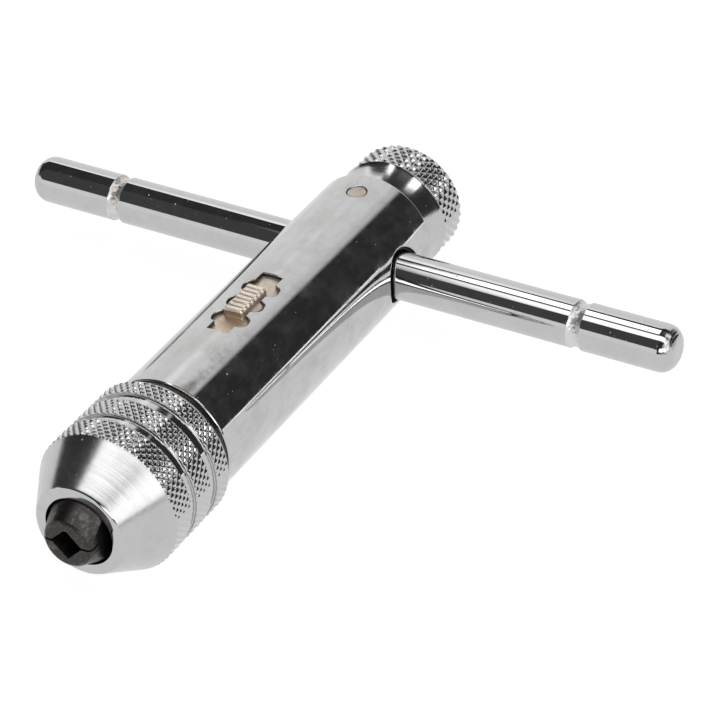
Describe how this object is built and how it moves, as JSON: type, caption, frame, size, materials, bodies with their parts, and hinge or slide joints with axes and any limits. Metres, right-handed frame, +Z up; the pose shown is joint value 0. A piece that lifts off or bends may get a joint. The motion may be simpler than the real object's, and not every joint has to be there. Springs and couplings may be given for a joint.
{
  "type": "tap wrench",
  "caption": "Ratcheting T-handle tap wrench: sliding cross bar, knurled rear knob, thumb selector in a lobed window, and a knurled chuck sleeve that closes two notched jaws on a tap's square.",
  "frame": {"origin": "on the surface that the chuck sleeve lies on, under the middle of the whole tool in X and Y", "axes": "+X along the cross bar, +Y along the tool's long axis from the jaws to the rear knob, +Z up through the selector window"},
  "size_m": [0.0984, 0.088, 0.0201],
  "materials": {
    "chrome_body": "bright chrome plate over steel, polished, with diamond knurls on the sleeve's bands and the knob",
    "black_oxide": "black oxide on ground steel, slightly brown",
    "satin_steel": "satin, faintly warm pressed steel",
    "hard_steel": "ground hardened steel",
    "spring_steel": "bare spring wire and spring sheet",
    "bronze": "plain bronze, as turned"
  },
  "bodies": {
    "handle": {"handle_tube": "chrome_body", "rear_knob": "chrome_body", "knob_pin": "satin_steel", "rear_bush": "bronze", "detent_spring": "spring_steel"},
    "detent": {"detent_ball": "hard_steel"},
    "t_bar": {"t_bar": "chrome_body"},
    "spindle": {"spindle": "black_oxide", "tail_circlip": "spring_steel", "tail_washer": "hard_steel", "left_jaw_spring": "spring_steel", "right_jaw_spring": "spring_steel"},
    "selector": {"selector_slide": "satin_steel", "click_spring": "satin_steel", "pawl_spring": "spring_steel"},
    "pawl": {"pawl": "hard_steel"},
    "sleeve_ring": {"sleeve_stop_ring": "spring_steel"},
    "sleeve": {"chuck_sleeve": "chrome_body"},
    "upper_jaw": {"upper_jaw": "black_oxide"},
    "lower_jaw": {"lower_jaw": "black_oxide"}
  },
  "joints": [
    {"name": "t_bar_slide", "type": "slide", "parent": "handle", "child": "t_bar", "axis": [1, 0, 0], "range_m": [-0.0354, 0.0354]},
    {"name": "detent_ball_lift", "type": "slide", "parent": "handle", "child": "detent", "axis": [0, 1, 0], "range_m": [0, 0.0004], "stiffness_N_per_m": 500, "deforming": ["detent_spring"]},
    {"name": "spindle_spin", "type": "hinge", "parent": "handle", "child": "spindle", "pos_m": [0, 0.0253, 0.01006], "axis": [0, 1, 0], "continuous": true},
    {"name": "selector_shift", "type": "slide", "parent": "handle", "child": "selector", "axis": [0, 1, 0], "range_m": [-0.0038, 0.0038], "deforming": ["click_spring"]},
    {"name": "pawl_lift", "type": "slide", "parent": "selector", "child": "pawl", "axis": [0, 0, 1], "range_m": [0, 0.0009], "stiffness_N_per_m": 120, "deforming": ["pawl_spring"]},
    {"name": "sleeve_travel", "type": "slide", "parent": "spindle", "child": "sleeve_ring", "axis": [0, 1, 0], "range_m": [-0.00368, 0.0003]},
    {"name": "sleeve_turn", "type": "hinge", "parent": "sleeve_ring", "child": "sleeve", "pos_m": [0, 0.0253, 0.01006], "axis": [0, 1, 0], "range_deg": [-1061.66, 86.9]},
    {"name": "upper_jaw_slide", "type": "slide", "parent": "spindle", "child": "upper_jaw", "axis": [0, 0, 1], "range_m": [-0.00014, 0.00164], "deforming": ["left_jaw_spring", "right_jaw_spring"]},
    {"name": "lower_jaw_slide", "type": "slide", "parent": "spindle", "child": "lower_jaw", "axis": [0, 0, -1], "range_m": [-0.00014, 0.00164]}
  ],
  "couplings": [
    {"joint": "sleeve_turn", "follows": "sleeve_travel", "rad_per_m": 5026.5},
    {"joint": "upper_jaw_slide", "follows": "sleeve_travel", "ratio": -0.44523},
    {"joint": "lower_jaw_slide", "follows": "sleeve_travel", "ratio": -0.44523}
  ]
}
